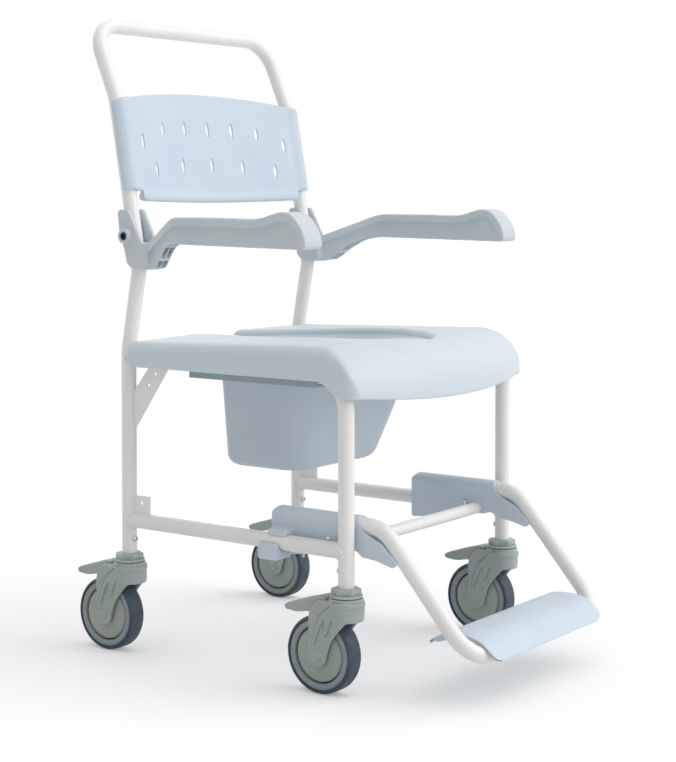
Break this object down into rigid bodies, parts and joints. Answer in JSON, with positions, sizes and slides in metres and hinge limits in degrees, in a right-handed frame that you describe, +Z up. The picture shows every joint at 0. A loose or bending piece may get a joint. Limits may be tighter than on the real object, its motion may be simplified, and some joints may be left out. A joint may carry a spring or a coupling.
{
  "type": "shower commode chair",
  "caption": "Wheeled shower commode chair with a tubular frame, keyhole seat, sliding pan, slotted backrest, fold-up armrests, sliding footrest and braked swivel casters.",
  "frame": {"origin": "on the floor, below the middle of the overall box", "axes": "+Z up, -Y to the front where the sitter faces, +X to the sitter's left"},
  "size_m": [0.62, 0.784, 1.0647],
  "materials": {
    "frame_paint": "satin",
    "seat_plastic": "satin",
    "arm_plastic": "satin",
    "pan_plastic": "satin",
    "foot_plastic": "satin",
    "caster_plastic": "satin",
    "wheel_disc": "satin",
    "tyre": "matte",
    "steel": "satin"
  },
  "bodies": {
    "frame": {"rear_leg_right": "frame_paint", "rear_leg_left": "frame_paint", "push_handle": "frame_paint", "side_tube_right": "frame_paint", "side_tube_left": "frame_paint", "lower_rail_right": "frame_paint", "lower_rail_left": "frame_paint", "front_cross_tube": "frame_paint", "rear_cross_tube": "frame_paint", "gusset_right": "frame_paint", "gusset_left": "frame_paint", "rail_tab_right": "frame_paint", "rail_tab_left": "frame_paint", "stem_screws": "steel", "seat": "seat_plastic", "backrest": "seat_plastic", "arm_bolt_right": "steel", "arm_bolt_left": "steel", "pan_rail_right": "pan_plastic", "pan_rail_left": "pan_plastic", "collar_front_right": "caster_plastic", "collar_front_left": "caster_plastic", "collar_rear_right": "caster_plastic", "collar_rear_left": "caster_plastic"},
    "arm_right": {"armrest_right": "arm_plastic"},
    "arm_left": {"armrest_left": "arm_plastic"},
    "pan_body": {"pan": "pan_plastic"},
    "footrest": {"foot_bracket_right": "foot_plastic", "foot_bracket_left": "foot_plastic", "foot_tube": "frame_paint", "foot_cross_tube": "frame_paint", "bracket_bolts": "steel"},
    "foot_flap": {"footplate": "foot_plastic"},
    "caster_front_right": {"fork_front_right": "caster_plastic", "axle_front_right": "steel"},
    "brake_front_right": {"pedal_front_right": "caster_plastic"},
    "wheel_front_right": {"hub_front_right": "wheel_disc", "tyre_front_right": "tyre"},
    "caster_front_left": {"fork_front_left": "caster_plastic", "axle_front_left": "steel"},
    "brake_front_left": {"pedal_front_left": "caster_plastic"},
    "wheel_front_left": {"hub_front_left": "wheel_disc", "tyre_front_left": "tyre"},
    "caster_rear_right": {"fork_rear_right": "caster_plastic", "axle_rear_right": "steel"},
    "brake_rear_right": {"pedal_rear_right": "caster_plastic"},
    "wheel_rear_right": {"hub_rear_right": "wheel_disc", "tyre_rear_right": "tyre"},
    "caster_rear_left": {"fork_rear_left": "caster_plastic", "axle_rear_left": "steel"},
    "brake_rear_left": {"pedal_rear_left": "caster_plastic"},
    "wheel_rear_left": {"hub_rear_left": "wheel_disc", "tyre_rear_left": "tyre"}
  },
  "joints": [
    {"name": "arm_right_fold", "type": "hinge", "parent": "frame", "child": "arm_right", "pos_m": [-0.232, 0.2665, 0.697], "axis": [-1, 0, 0], "range_deg": [0, 76]},
    {"name": "arm_left_fold", "type": "hinge", "parent": "frame", "child": "arm_left", "pos_m": [0.232, 0.2665, 0.697], "axis": [-1, 0, 0], "range_deg": [0, 76]},
    {"name": "pan_slide", "type": "slide", "parent": "frame", "child": "pan_body", "axis": [0, 1, 0], "range_m": [0, 0.18]},
    {"name": "footrest_slide", "type": "slide", "parent": "frame", "child": "footrest", "axis": [0, 1, 0], "range_m": [0, 0.08]},
    {"name": "footplate_flip", "type": "hinge", "parent": "footrest", "child": "foot_flap", "pos_m": [0, -0.366, 0.079], "axis": [1, 0, 0], "range_deg": [0, 90]},
    {"name": "swivel_front_right", "type": "hinge", "parent": "frame", "child": "caster_front_right", "pos_m": [-0.232, -0.164, 0.126], "axis": [0, 0, 1], "continuous": true},
    {"name": "roll_front_right", "type": "hinge", "parent": "caster_front_right", "child": "wheel_front_right", "pos_m": [-0.232, -0.122, 0.061], "axis": [1, 0, 0], "continuous": true},
    {"name": "brake_front_right_press", "type": "hinge", "parent": "caster_front_right", "child": "brake_front_right", "pos_m": [-0.232, -0.13, 0.1395], "axis": [-1, 0, 0], "range_deg": [0, 10]},
    {"name": "swivel_front_left", "type": "hinge", "parent": "frame", "child": "caster_front_left", "pos_m": [0.232, -0.164, 0.126], "axis": [0, 0, 1], "continuous": true},
    {"name": "roll_front_left", "type": "hinge", "parent": "caster_front_left", "child": "wheel_front_left", "pos_m": [0.232, -0.122, 0.061], "axis": [1, 0, 0], "continuous": true},
    {"name": "brake_front_left_press", "type": "hinge", "parent": "caster_front_left", "child": "brake_front_left", "pos_m": [0.232, -0.13, 0.1395], "axis": [-1, 0, 0], "range_deg": [0, 10]},
    {"name": "swivel_rear_right", "type": "hinge", "parent": "frame", "child": "caster_rear_right", "pos_m": [-0.232, 0.282, 0.126], "axis": [0, 0, 1], "continuous": true},
    {"name": "roll_rear_right", "type": "hinge", "parent": "caster_rear_right", "child": "wheel_rear_right", "pos_m": [-0.232, 0.324, 0.061], "axis": [1, 0, 0], "continuous": true},
    {"name": "brake_rear_right_press", "type": "hinge", "parent": "caster_rear_right", "child": "brake_rear_right", "pos_m": [-0.232, 0.316, 0.1395], "axis": [-1, 0, 0], "range_deg": [0, 10]},
    {"name": "swivel_rear_left", "type": "hinge", "parent": "frame", "child": "caster_rear_left", "pos_m": [0.232, 0.282, 0.126], "axis": [0, 0, 1], "continuous": true},
    {"name": "roll_rear_left", "type": "hinge", "parent": "caster_rear_left", "child": "wheel_rear_left", "pos_m": [0.232, 0.324, 0.061], "axis": [1, 0, 0], "continuous": true},
    {"name": "brake_rear_left_press", "type": "hinge", "parent": "caster_rear_left", "child": "brake_rear_left", "pos_m": [0.232, 0.316, 0.1395], "axis": [-1, 0, 0], "range_deg": [0, 10]}
  ]
}
